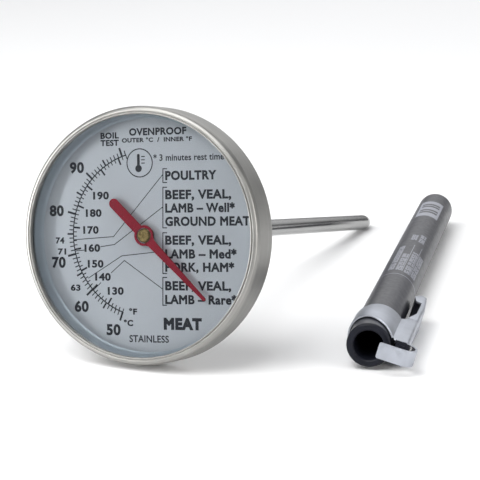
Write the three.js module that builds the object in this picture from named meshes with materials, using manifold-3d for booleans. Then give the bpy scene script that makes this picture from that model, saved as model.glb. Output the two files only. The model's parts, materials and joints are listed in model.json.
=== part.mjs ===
// A dial meat thermometer lying on a table on its rim and the point of its stem, with its
// protective sheath and pocket clip lying beside it.
//
// Millimetres, +Z up, table at z = 0. The sheath lies along +Y with its mouth towards -Y. The
// dial faces -Y too, turned a little, and its stem runs back beside the sheath and towards it.
// Inside the "thermometer" group the local +Y axis is the stem axis, and y = 0 is the front of
// the bezel. Inside the "sheath" group the local +Y axis runs from the open mouth to the closed
// end, local +X points out through the pocket clip, and y = 0 is the mouth.
// Parts that touch in the real thing are drawn with a small gap between them.

import * as THREE from 'three';
import { mergeVertices } from 'three/addons/utils/BufferGeometryUtils.js';
import Module from 'manifold-3d';

const wasm = await Module();
wasm.setup();

// ---------------------------------------------------------------- driving dimensions
const GAP = 0.3; // clearance between neighbouring pieces

// head
const BEZEL_RADIUS = 25.5; // a two-inch dial head
const WINDOW_RADIUS = 23.9;
const BEZEL_WALL = 0.5;
const BEZEL_DEPTH = 8.2;
const RIM_FRONT_Y = 1.5; // the rim has its full radius between these two
const RIM_REAR_Y = BEZEL_DEPTH - 0.8;
const LENS_RADIUS = 24.5;
const LENS_FRONT_Y = 1.2;
const LENS_THICKNESS = 1;
const GASKET_THICKNESS = 0.6;
const GASKET_INNER_RADIUS = 23.75;
const CUP_RADIUS = 24.7;
const CUP_WALL = 0.5;
const CUP_RIM_Y = 3.2;
const CUP_CORNER = 2.5; // outer radius of the rounded rear edge
const CUP_BACK_Y = 9.1;
const CUP_HOLE_RADIUS = 3.5;
const DIAL_Y = 4.3;
const DIAL_THICKNESS = 0.5;
const DIAL_RADIUS = 23.9;
const DIAL_HOLE_RADIUS = 1.6;

// stem, its collar and the calibration nut
const STEM_RADIUS = 1.95;
const STEM_BORE = 1.55;
const STEM_START_Y = 7.4;
const STEM_SHOULDER_Y = 135; // where the taper of the point begins
const STEM_END_Y = 140; // apex of the point
const TIP_RADIUS = 0.35;
const TIP_STUB_LENGTH = 3;
const STEM_FIT_BORE = STEM_RADIUS + GAP;
const COLLAR_RADIUS = 4.6;
const COLLAR_Y = 7.2;
const COLLAR_THICKNESS = 1.1;
const NECK_RADIUS = CUP_HOLE_RADIUS - GAP;
const WASHER_RADIUS = 5.2;
const WASHER_THICKNESS = 0.4;
const NUT_ACROSS_FLATS = 11;
const NUT_THICKNESS = 4;
const NUT_BOSS_RADIUS = 3.4;
const NUT_BOSS_LENGTH = 1.8;

// sensing coil and its guides
const COIL_RADIUS = 1.1; // middle of the strip
const COIL_STRIP = { thickness: 0.2, width: 2.2 };
const COIL_PITCH = 3;
const COIL_TURNS = 9;
const COIL_START_Y = 101;
const COIL_STEPS_PER_TURN = 10;
const GUIDE_RADIUS = STEM_BORE - GAP;
const GUIDE_LENGTH = 2;
const UPPER_GUIDE_Y = 8.2;
const LOWER_GUIDE_Y = 94;

// pointer and its shaft
const SHAFT_RADIUS = 0.5;
const SHAFT_START_Y = 3.4;
const SHAFT_END_Y = COIL_START_Y - GAP;
const SHAFT_FIT_BORE = SHAFT_RADIUS + GAP;
const SHAFT_COLLAR_Y = 7.2;
const SHAFT_COLLAR_LENGTH = 0.7;
const HUB_RADIUS = 1.35;
const HUB_FRONT_Y = 2.5;
const HUB_BACK_Y = 3.9;
const HUB_BORE_DEPTH = 0.8;
const POINTER_Y = 2.8;
const POINTER_THICKNESS = 0.35;
const POINTER_RING_RADIUS = 2.05;
const POINTER_HOLE_RADIUS = 1.55;
const POINTER_TIP_REACH = 18.3;
const POINTER_TIP_HALF_WIDTH = 0.35;
const POINTER_ROOT_HALF_WIDTH = 0.85;
const POINTER_TAIL_REACH = 10.1;
const POINTER_TAIL_HALF_WIDTH = 1;
const POINTER_CLOCK_DEGREES = 129; // resting reading, clockwise from the top of the dial

// sheath tube
const SHEATH_RADIUS = 4.45;
const SHEATH_BORE = 3.1;
const SHEATH_LENGTH = 135.5;
const SHEATH_BORE_LENGTH = 130;
const SHEATH_LIP = 0.35; // rounding of the mouth edges

// pocket clip: one bent steel strip, a band round the tube, a channel beside it and a hook
const CLIP_SHEET = 0.45;
const BAND_INNER_RADIUS = SHEATH_RADIUS + 0.15;
const BAND_OUTER_RADIUS = BAND_INNER_RADIUS + CLIP_SHEET;
const CHANNEL_HALF_WIDTH = 2.95;
const CHANNEL_OUTER_X = 7.6;
const CHANNEL_CORNER = 0.6;
const HINGE_Y = 17;
const HOOK_GAP = 4; // holds the stem across the mouth
const HOOK_REACH_X = 9.5;
const HOOK_TIP_X = 2.1;
const HOOK_WIDTH = 3.3;
const HOOK_BOTTOM_Z = -0.6;
const HOOK_BACK_Y = 0.8;

// how the two pieces lie
const STEM_YAW = THREE.MathUtils.degToRad(11.6); // the stem is turned towards the sheath
const SHEATH_MOUTH_X = 45.1; // measured from the middle of the bezel's front
const SHEATH_MOUTH_Y = 5.8;
const SHEATH_ROLL = THREE.MathUtils.degToRad(15.5);
const SHEATH_BAND_MIDDLE_Y = 10;

// roundness of the faceted solids
const HEAD_SEGMENTS = 56;
const INNER_SEGMENTS = 48;
const STEM_SEGMENTS = 24;
const SMALL_SEGMENTS = 16;
const TUBE_SEGMENTS = 32;

// ---------------------------------------------------------------- materials
const finish = (color, roughness, metalness) =>
  new THREE.MeshStandardMaterial({ color, roughness, metalness });

const STEEL = [0xa9aaa8, 0.3, 1];
const CLIP_STEEL = [0xbfc4cc, 0.38, 1];
const BRASS = [0xb5a468, 0.35, 1];
const RED = [0xa32a3a, 0.45, 0];
const DIAL_GREY = [0xa9b1bb, 0.5, 0.3];
const GLASS = [0xe8eef2, 0.03, 0];
const RUBBER = [0x303234, 0.8, 0];
const BLUE_GREY = [0x76818d, 0.35, 0.6];
const SHEATH_GREY = [0x4d4f57, 0.3, 0];
const BIMETAL = [0x9a8f82, 0.4, 1];

// ---------------------------------------------------------------- helpers
const clean = (geometry) => {
  const bare = geometry.clone();
  bare.deleteAttribute('normal');
  bare.deleteAttribute('uv');
  const merged = mergeVertices(bare, 1e-5);
  const source = merged.index.array;
  const kept = [];
  for (let i = 0; i < source.length; i += 3) {
    const [a, b, c] = [source[i], source[i + 1], source[i + 2]];
    if (a !== b && b !== c && c !== a) kept.push(a, b, c);
  }
  merged.setIndex(kept);
  return merged;
};

const toSolid = (geometry) => {
  const merged = clean(geometry);
  return new wasm.Manifold(new wasm.Mesh({
    numProp: 3,
    vertProperties: new Float32Array(merged.attributes.position.array),
    triVerts: new Uint32Array(merged.index.array),
  }));
};

const toGeometry = (solid) => {
  const { vertProperties, triVerts } = solid.getMesh();
  const geometry = new THREE.BufferGeometry();
  geometry.setAttribute('position', new THREE.BufferAttribute(new Float32Array(vertProperties), 3));
  geometry.setIndex(new THREE.BufferAttribute(new Uint32Array(triVerts), 1));
  geometry.computeVertexNormals();
  return geometry;
};

// A body turned round the local Y axis. The profile is a list of [radius, y] corners: either a
// closed loop clear of the axis, or an open line that starts and ends on it.
const turned = (profile, segments) => {
  const points = profile.map(([radius, y]) => new THREE.Vector2(radius, y));
  const area = points.reduce((sum, p, i) => sum + p.cross(points[(i + 1) % points.length]), 0);
  if (area < 0) points.reverse();
  const onAxis = points[0].x === 0 && points.at(-1).x === 0;
  if (!onAxis) points.push(points[0].clone());
  return clean(new THREE.LatheGeometry(points, segments));
};

const ring = (inner, outer, start, end, segments) =>
  turned([[inner, start], [outer, start], [outer, end], [inner, end]], segments);

const arc = (centreX, centreY, radius, fromDegrees, toDegrees, steps) =>
  Array.from({ length: steps + 1 }, (_, i) => {
    const angle = THREE.MathUtils.degToRad(fromDegrees + ((toDegrees - fromDegrees) * i) / steps);
    return [centreX + radius * Math.cos(angle), centreY + radius * Math.sin(angle)];
  });

// An outline in the plane across the local Y axis, given as [x, z] corners with any holes, all
// going round the same way, extruded from y = start to y = end.
const extrudedAlongY = (outline, holes, start, end) => {
  const flat = (corners) => corners.map(([x, z]) => new THREE.Vector2(x, -z));
  const shape = new THREE.Shape(flat(outline));
  shape.holes = holes.map((hole) => new THREE.Path(flat(hole).reverse()));
  const geometry = new THREE.ExtrudeGeometry(shape, { depth: end - start, bevelEnabled: false });
  geometry.rotateX(-Math.PI / 2);
  return geometry.translate(0, start, 0);
};

// An outline in the local XY plane, given as [x, y] corners, extruded from z = low to z = high.
const extrudedAlongZ = (outline, low, high) => {
  const shape = new THREE.Shape(outline.map(([x, y]) => new THREE.Vector2(x, y)));
  const geometry = new THREE.ExtrudeGeometry(shape, { depth: high - low, bevelEnabled: false });
  return geometry.translate(0, 0, low);
};

const thermometer = new THREE.Group();
const sheath = new THREE.Group();
const piece = (group, name, geometry, look) => {
  const mesh = new THREE.Mesh(geometry, finish(...look));
  mesh.name = name;
  group.add(mesh);
  return mesh;
};

// ---------------------------------------------------------------- head
const skirtInner = BEZEL_RADIUS - BEZEL_WALL;
piece(thermometer, 'bezel_ring', turned([
  [WINDOW_RADIUS, 0.4], [WINDOW_RADIUS + 0.08, 0.06], [WINDOW_RADIUS + 0.2, 0.04],
  [WINDOW_RADIUS + 0.3, 0.3], [WINDOW_RADIUS + 0.44, 0.28], [WINDOW_RADIUS + 0.6, 0.0697],
  [WINDOW_RADIUS + 0.85, 0.15], [WINDOW_RADIUS + 1.25, 0.45], [BEZEL_RADIUS - 0.1, 0.97],
  [BEZEL_RADIUS, RIM_FRONT_Y], [BEZEL_RADIUS, RIM_REAR_Y],
  [BEZEL_RADIUS - 0.2, BEZEL_DEPTH - 0.25], [BEZEL_RADIUS - 0.8, BEZEL_DEPTH],
  [skirtInner - 0.35, BEZEL_DEPTH - 0.35], [skirtInner, BEZEL_DEPTH - 1],
  [skirtInner, LENS_FRONT_Y - 0.1], [skirtInner - 0.15, LENS_FRONT_Y - GAP],
  [WINDOW_RADIUS, LENS_FRONT_Y - GAP],
], HEAD_SEGMENTS), STEEL);

piece(thermometer, 'lens', turned([
  [0, LENS_FRONT_Y], [LENS_RADIUS, LENS_FRONT_Y],
  [LENS_RADIUS, LENS_FRONT_Y + LENS_THICKNESS], [0, LENS_FRONT_Y + LENS_THICKNESS],
], INNER_SEGMENTS), GLASS);

const gasketY = LENS_FRONT_Y + LENS_THICKNESS + 0.2;
piece(thermometer, 'lens_gasket',
  ring(GASKET_INNER_RADIUS, LENS_RADIUS, gasketY, gasketY + GASKET_THICKNESS, INNER_SEGMENTS),
  RUBBER);

// Sloping ring that holds the dial down inside the cup.
const cupInner = CUP_RADIUS - CUP_WALL;
piece(thermometer, 'inner_ring', turned([
  [cupInner - GAP, CUP_RIM_Y], [cupInner - GAP, DIAL_Y - GAP],
  [cupInner - 0.9, DIAL_Y - GAP], [cupInner - 0.65, CUP_RIM_Y + 0.3], [cupInner - 0.6, CUP_RIM_Y],
], INNER_SEGMENTS), BLUE_GREY);

piece(thermometer, 'dial_plate',
  ring(DIAL_HOLE_RADIUS, DIAL_RADIUS, DIAL_Y, DIAL_Y + DIAL_THICKNESS, INNER_SEGMENTS),
  DIAL_GREY);

const floorInnerY = CUP_BACK_Y - CUP_WALL;
piece(thermometer, 'dial_spacer',
  ring(20.6, 22, DIAL_Y + DIAL_THICKNESS + GAP, floorInnerY - GAP, INNER_SEGMENTS), STEEL);

const cornerRadius = CUP_RADIUS - CUP_CORNER;
const cornerY = CUP_BACK_Y - CUP_CORNER;
piece(thermometer, 'case_back', turned([
  [CUP_HOLE_RADIUS, floorInnerY],
  ...arc(cornerRadius, cornerY, CUP_CORNER - CUP_WALL, 90, 0, 3),
  [cupInner, CUP_RIM_Y], [CUP_RADIUS, CUP_RIM_Y],
  ...arc(cornerRadius, cornerY, CUP_CORNER, 0, 90, 4),
  [CUP_HOLE_RADIUS, CUP_BACK_Y],
], HEAD_SEGMENTS), STEEL);

// ---------------------------------------------------------------- stem
const nutY = CUP_BACK_Y + GAP + WASHER_THICKNESS + GAP;
piece(thermometer, 'stem_collar', turned([
  [STEM_FIT_BORE, COLLAR_Y], [COLLAR_RADIUS, COLLAR_Y],
  [COLLAR_RADIUS, COLLAR_Y + COLLAR_THICKNESS], [NECK_RADIUS, COLLAR_Y + COLLAR_THICKNESS],
  [NECK_RADIUS, nutY - GAP], [STEM_FIT_BORE, nutY - GAP],
], STEM_SEGMENTS), BRASS);

piece(thermometer, 'friction_washer',
  ring(CUP_HOLE_RADIUS, WASHER_RADIUS, CUP_BACK_Y + GAP, CUP_BACK_Y + GAP + WASHER_THICKNESS,
    STEM_SEGMENTS), STEEL);

// Hexagon nut with chamfered corners and a small tapered boss where the stem leaves it.
const hexCorner = NUT_ACROSS_FLATS / 2 / Math.cos(Math.PI / 6);
const hexagon = arc(0, 0, hexCorner, 0, 300, 5);
const nutEndY = nutY + NUT_THICKNESS;
const nutEnvelope = turned([
  [STEM_FIT_BORE, nutY], [hexCorner - 0.5, nutY], [hexCorner + 0.05, nutY + 0.4],
  [hexCorner + 0.05, nutEndY - 0.4], [hexCorner - 0.5, nutEndY],
  [STEM_FIT_BORE, nutEndY],
], STEM_SEGMENTS * 2);
const nutBoss = turned([
  [STEM_FIT_BORE, nutEndY - 1], [NUT_BOSS_RADIUS, nutEndY - 1], [NUT_BOSS_RADIUS, nutEndY],
  [STEM_FIT_BORE + 0.4, nutEndY + NUT_BOSS_LENGTH], [STEM_FIT_BORE, nutEndY + NUT_BOSS_LENGTH],
], STEM_SEGMENTS * 2);
piece(thermometer, 'calibration_nut', toGeometry(
  toSolid(extrudedAlongY(hexagon, [], nutY - 1, nutEndY + 1))
    .intersect(toSolid(nutEnvelope)).add(toSolid(nutBoss))), STEEL);

piece(thermometer, 'stem_tube',
  ring(STEM_BORE, STEM_RADIUS, STEM_START_Y, STEM_SHOULDER_Y - GAP, STEM_SEGMENTS), STEEL);

piece(thermometer, 'stem_tip', turned([
  [0, STEM_SHOULDER_Y - TIP_STUB_LENGTH], [GUIDE_RADIUS, STEM_SHOULDER_Y - TIP_STUB_LENGTH],
  [GUIDE_RADIUS, STEM_SHOULDER_Y], [STEM_RADIUS, STEM_SHOULDER_Y],
  [STEM_RADIUS - 0.25, STEM_SHOULDER_Y + 1.2],
  [TIP_RADIUS + 0.25, STEM_END_Y - 1], [TIP_RADIUS, STEM_END_Y - 0.35], [0, STEM_END_Y],
], STEM_SEGMENTS), STEEL);

const guide = (y) =>
  ring(SHAFT_FIT_BORE, GUIDE_RADIUS, y, y + GUIDE_LENGTH, SMALL_SEGMENTS);
piece(thermometer, 'upper_guide', guide(UPPER_GUIDE_Y), BRASS);
piece(thermometer, 'lower_guide', guide(LOWER_GUIDE_Y), BRASS);

// Wound two-metal strip: a long flat bar wrapped into a helix round the stem axis.
const coil = new THREE.BoxGeometry(
  COIL_STRIP.thickness, COIL_STRIP.width, COIL_TURNS, 1, 1, COIL_TURNS * COIL_STEPS_PER_TURN);
const strip = coil.attributes.position;
for (let i = 0; i < strip.count; i += 1) {
  const turns = strip.getZ(i) + COIL_TURNS / 2;
  const radius = COIL_RADIUS + strip.getX(i);
  const along = COIL_START_Y + COIL_STRIP.width / 2 + turns * COIL_PITCH + strip.getY(i);
  const angle = turns * 2 * Math.PI;
  strip.setXYZ(i, radius * Math.cos(angle), along, radius * Math.sin(angle));
}
piece(thermometer, 'bimetal_coil', clean(coil), BIMETAL);

// ---------------------------------------------------------------- pointer
// Drawn pointing along +X in its own plane, then turned to the resting reading. Clockwise as
// seen from the front of the dial is from +Z towards +X.
const pointerOutline = [
  ...arc(-POINTER_TAIL_REACH + POINTER_TAIL_HALF_WIDTH, 0, POINTER_TAIL_HALF_WIDTH, 90, 270, 6),
  [-1.75, -POINTER_TAIL_HALF_WIDTH],
  ...arc(0, 0, POINTER_RING_RADIUS, 215, 328, 6),
  [2.3, -POINTER_ROOT_HALF_WIDTH],
  [POINTER_TIP_REACH - 0.3, -POINTER_TIP_HALF_WIDTH], [POINTER_TIP_REACH, 0],
  [POINTER_TIP_REACH - 0.3, POINTER_TIP_HALF_WIDTH],
  [2.3, POINTER_ROOT_HALF_WIDTH],
  ...arc(0, 0, POINTER_RING_RADIUS, 32, 145, 6),
  [-1.75, POINTER_TAIL_HALF_WIDTH],
];
const pointerHole = arc(0, 0, POINTER_HOLE_RADIUS, 0, 345, 23);
const pointerGeometry = extrudedAlongY(
  pointerOutline, [pointerHole], POINTER_Y, POINTER_Y + POINTER_THICKNESS);
pointerGeometry.rotateY(THREE.MathUtils.degToRad(POINTER_CLOCK_DEGREES - 90));
piece(thermometer, 'pointer', clean(pointerGeometry), RED);

piece(thermometer, 'pointer_hub', turned([
  [0, HUB_FRONT_Y], [HUB_RADIUS - 0.15, HUB_FRONT_Y], [HUB_RADIUS, HUB_FRONT_Y + 0.15],
  [HUB_RADIUS, HUB_BACK_Y], [SHAFT_FIT_BORE, HUB_BACK_Y],
  [SHAFT_FIT_BORE, HUB_BACK_Y - HUB_BORE_DEPTH], [0, HUB_BACK_Y - HUB_BORE_DEPTH],
], STEM_SEGMENTS), BRASS);

piece(thermometer, 'pointer_shaft', turned([
  [0, SHAFT_START_Y], [SHAFT_RADIUS, SHAFT_START_Y], [SHAFT_RADIUS, SHAFT_END_Y],
  [0, SHAFT_END_Y],
], SMALL_SEGMENTS), STEEL);

piece(thermometer, 'shaft_collar',
  ring(SHAFT_FIT_BORE, GUIDE_RADIUS, SHAFT_COLLAR_Y, SHAFT_COLLAR_Y + SHAFT_COLLAR_LENGTH,
    SMALL_SEGMENTS), BRASS);

// ---------------------------------------------------------------- sheath tube
const domeY = SHEATH_LENGTH - SHEATH_RADIUS;
piece(sheath, 'sheath_tube', turned([
  [0, SHEATH_BORE_LENGTH], [SHEATH_BORE * 0.6, SHEATH_BORE_LENGTH - 0.6],
  [SHEATH_BORE, SHEATH_BORE_LENGTH - 2.2], [SHEATH_BORE, SHEATH_LIP],
  [SHEATH_BORE + SHEATH_LIP, 0], [SHEATH_RADIUS - SHEATH_LIP, 0], [SHEATH_RADIUS, SHEATH_LIP],
  ...arc(0, domeY, SHEATH_RADIUS, 0, 78.75, 7), [0, SHEATH_LENGTH],
], TUBE_SEGMENTS), SHEATH_GREY);

// ---------------------------------------------------------------- pocket clip
// Keyhole section: a band round the tube that opens into a channel along its side.
const half = CHANNEL_HALF_WIDTH;
const innerHalf = half - CLIP_SHEET;
const innerX = CHANNEL_OUTER_X - CLIP_SHEET;
const degreesAt = (z, radius) => THREE.MathUtils.radToDeg(Math.asin(z / radius));
const outerJoin = degreesAt(half, BAND_OUTER_RADIUS);
const innerJoin = degreesAt(innerHalf, BAND_INNER_RADIUS);
const cornerX = CHANNEL_OUTER_X - CHANNEL_CORNER;
const keyholeOuter = [
  ...arc(0, 0, BAND_OUTER_RADIUS, outerJoin, 360 - outerJoin, 24),
  ...arc(cornerX, -half + CHANNEL_CORNER, CHANNEL_CORNER, -90, 0, 3),
  ...arc(cornerX, half - CHANNEL_CORNER, CHANNEL_CORNER, 0, 90, 3),
];
const keyholeInner = [
  ...arc(0, 0, BAND_INNER_RADIUS, innerJoin, 360 - innerJoin, 24),
  [innerX, -innerHalf], [innerX, innerHalf],
];
// Side view of the fixed half: the front edge slants back round the tube, and the rear edge
// runs out along the channel to the hinge line.
const bandSide = [
  [-6, 6.9], [4.3, 0.7], [4.6, 0.35], [6.9, 0.35], [CHANNEL_OUTER_X + 0.3, 3],
  [CHANNEL_OUTER_X + 0.3, HINGE_Y - GAP / 2], [5.3, HINGE_Y - GAP / 2], [4.9, 15.8],
  [3.9, 15.1], [3, 13.9], [-6, 13.1],
];
// Round the underside the front edge stays further back, clear of the hook.
const underCut = [
  [-4.8, -1], [8.2, -1], [8.2, 2.6], [7, 2.6], [5.4, 4.4], [4.3, 5.9], [-3.6, 5.9], [-4.8, 6.18],
];
const keyhole = extrudedAlongY(keyholeOuter, [keyholeInner], 0, HINGE_Y + 1);
const bandSolid = toSolid(keyhole)
  .intersect(toSolid(extrudedAlongZ(bandSide, -8, 8)))
  .subtract(toSolid(extrudedAlongZ(underCut, -8, 0)));

// Hairpin hook in front of the mouth, bent from the end of the channel.
const bendOuter = HOOK_GAP / 2 + CLIP_SHEET;
const bendY = HOOK_BACK_Y - bendOuter;
const bendX = HOOK_REACH_X - bendOuter;
const hookStart = BAND_OUTER_RADIUS - 0.15;
const hookOutline = [
  [hookStart, HOOK_BACK_Y - CLIP_SHEET],
  ...arc(bendX, bendY, HOOK_GAP / 2, 90, -90, 8),
  [HOOK_TIP_X, HOOK_BACK_Y - 2 * bendOuter + CLIP_SHEET],
  [HOOK_TIP_X, HOOK_BACK_Y - 2 * bendOuter],
  ...arc(bendX, bendY, bendOuter, -90, 90, 8),
  [hookStart, HOOK_BACK_Y],
];
const hookSolid = toSolid(
  extrudedAlongZ(hookOutline, HOOK_BOTTOM_Z, HOOK_BOTTOM_Z + HOOK_WIDTH));
// The back of the hook turns up into the side of the channel.
const hookRoot = toSolid(extrudedAlongZ([
  [hookStart, HOOK_BACK_Y - CLIP_SHEET], [6.7, HOOK_BACK_Y - CLIP_SHEET],
  [6.7, HOOK_BACK_Y + 0.1], [hookStart, HOOK_BACK_Y + 0.1],
], HOOK_BOTTOM_Z, half));
piece(sheath, 'clip_band', toGeometry(bandSolid.add(hookSolid).add(hookRoot)), CLIP_STEEL);

// Springy half of the channel: narrow sides along the middle, and an end bent in to the tube.
const tongueStartY = HINGE_Y + GAP / 2;
const tongueSide = [
  [5.55, tongueStartY], [CHANNEL_OUTER_X, tongueStartY], [CHANNEL_OUTER_X, 22], [7.85, 27.3],
  [7.4, 35], [6.2, 36.6], [4.8, 34.3], [5.4, 31], [6.65, 30.6], [6.55, 21.8],
];
const tongueHollow = [
  [3, tongueStartY - 1], [innerX, tongueStartY - 1], [innerX, 22], [7.4, 27.3],
  [6.97, 34.7], [6.2, 35.8], [5.1, 34], [3, 33],
];
// Its lower side reaches in almost to the tube.
const lowerSide = [
  [4.1, tongueStartY], [7, tongueStartY], [7, 32], [5.2, 32], [4.6, 31], [4.1, 29],
];
piece(sheath, 'clip_tongue', toGeometry(
  toSolid(extrudedAlongZ(tongueSide, -half, half))
    .subtract(toSolid(extrudedAlongZ(tongueHollow, -innerHalf, innerHalf)))
    .add(toSolid(extrudedAlongZ(lowerSide, -half, -innerHalf)))), CLIP_STEEL);

// ---------------------------------------------------------------- how the pieces lie
// The thermometer leans between the rear of its rim and the shoulder of its point.
const tilt = Math.atan((BEZEL_RADIUS - STEM_RADIUS) / (STEM_SHOULDER_Y - RIM_REAR_Y));
thermometer.rotation.set(-tilt, 0, -STEM_YAW, 'ZXY');
thermometer.position.z = BEZEL_RADIUS * Math.cos(tilt) + RIM_REAR_Y * Math.sin(tilt);

// The sheath lies on its clip band and on its closed end, rolled over on to the channel.
const bandLift = BAND_OUTER_RADIUS - SHEATH_RADIUS;
const sheathTilt = Math.atan(bandLift / (domeY - SHEATH_BAND_MIDDLE_Y));
sheath.rotation.set(-sheathTilt, SHEATH_ROLL, 0, 'ZXY');
sheath.position.set(SHEATH_MOUTH_X, SHEATH_MOUTH_Y,
  BAND_OUTER_RADIUS + SHEATH_BAND_MIDDLE_Y * Math.sin(sheathTilt));

const part = new THREE.Group();
part.add(thermometer, sheath);
part.updateMatrixWorld(true);

// Origin at the middle of the footprint, on the table.
const bounds = new THREE.Box3().setFromObject(part, true);
part.position.set(
  -(bounds.min.x + bounds.max.x) / 2, -(bounds.min.y + bounds.max.y) / 2, -bounds.min.z);
part.updateMatrixWorld(true);

export default part;
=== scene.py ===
"""A dial meat thermometer, its sheath and pocket clip on a white table.

Shapes are written in millimetres in two local frames. In the thermometer's, +Y is the stem axis,
y = 0 is the front of the bezel, X is to the right and Z is up on the dial as it is read. In the
sheath's, +Y runs from the mouth to the closed end and +X points out through the pocket clip.
"""
import json
import math
import random

import bmesh
import bpy
from mathutils import Matrix, Vector


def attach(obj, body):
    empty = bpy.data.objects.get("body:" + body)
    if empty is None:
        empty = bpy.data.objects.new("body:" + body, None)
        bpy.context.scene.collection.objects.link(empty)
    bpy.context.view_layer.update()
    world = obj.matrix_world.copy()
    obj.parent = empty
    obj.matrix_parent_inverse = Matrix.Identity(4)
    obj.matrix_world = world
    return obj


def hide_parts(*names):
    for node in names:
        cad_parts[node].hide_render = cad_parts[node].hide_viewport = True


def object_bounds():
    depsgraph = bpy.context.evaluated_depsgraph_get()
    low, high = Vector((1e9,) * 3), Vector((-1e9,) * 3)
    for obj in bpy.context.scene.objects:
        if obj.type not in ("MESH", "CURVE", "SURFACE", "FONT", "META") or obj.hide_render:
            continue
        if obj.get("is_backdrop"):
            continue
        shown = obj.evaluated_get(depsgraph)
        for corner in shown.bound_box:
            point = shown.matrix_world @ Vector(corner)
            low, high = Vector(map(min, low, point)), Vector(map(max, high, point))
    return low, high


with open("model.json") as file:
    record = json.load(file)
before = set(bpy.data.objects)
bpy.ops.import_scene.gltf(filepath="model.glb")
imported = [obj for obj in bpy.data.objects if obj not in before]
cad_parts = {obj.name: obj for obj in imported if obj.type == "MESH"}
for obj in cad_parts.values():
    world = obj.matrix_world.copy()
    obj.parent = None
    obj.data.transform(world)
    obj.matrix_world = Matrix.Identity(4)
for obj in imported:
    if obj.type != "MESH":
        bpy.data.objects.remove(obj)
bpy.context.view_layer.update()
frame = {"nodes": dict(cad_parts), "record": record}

MM = 0.001
record = frame["record"]
joints = {j["name"]: j for j in record["behaviour"]["joints"]}
mounts = {m["name"]: m for m in record["mounts"]}


def local_frame(x, y, z, origin):
    matrix = Matrix((x, y, z)).transposed().to_4x4()
    matrix.translation = origin
    return matrix


STEM_JOINT_Y = 9            # the stem joint's distance behind the bezel's front
MOUTH_MOUNT_RADIUS = 3.78   # the mouth mount's distance from the tube's axis, opposite the clip

# The nut's upper flat faces local +Z.
stem_axis = Vector(joints["stem_turn"]["axis"]).normalized()
dial_up = Vector(mounts["nut_flat"]["axis"]).normalized()
dial_right = stem_axis.cross(dial_up)
THERMOMETER = local_frame(dial_right, stem_axis, dial_up,
                          Vector(joints["stem_turn"]["pos_m"]) - STEM_JOINT_Y * MM * stem_axis)
tube_axis = -Vector(mounts["sheath_mouth"]["axis"]).normalized()
clip_out = Vector(mounts["clip_face"]["axis"]).normalized()
SHEATH = local_frame(clip_out, tube_axis, clip_out.cross(tube_axis),
                     Vector(mounts["sheath_mouth"]["pos_m"]) + MOUTH_MOUNT_RADIUS * MM * clip_out)


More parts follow.
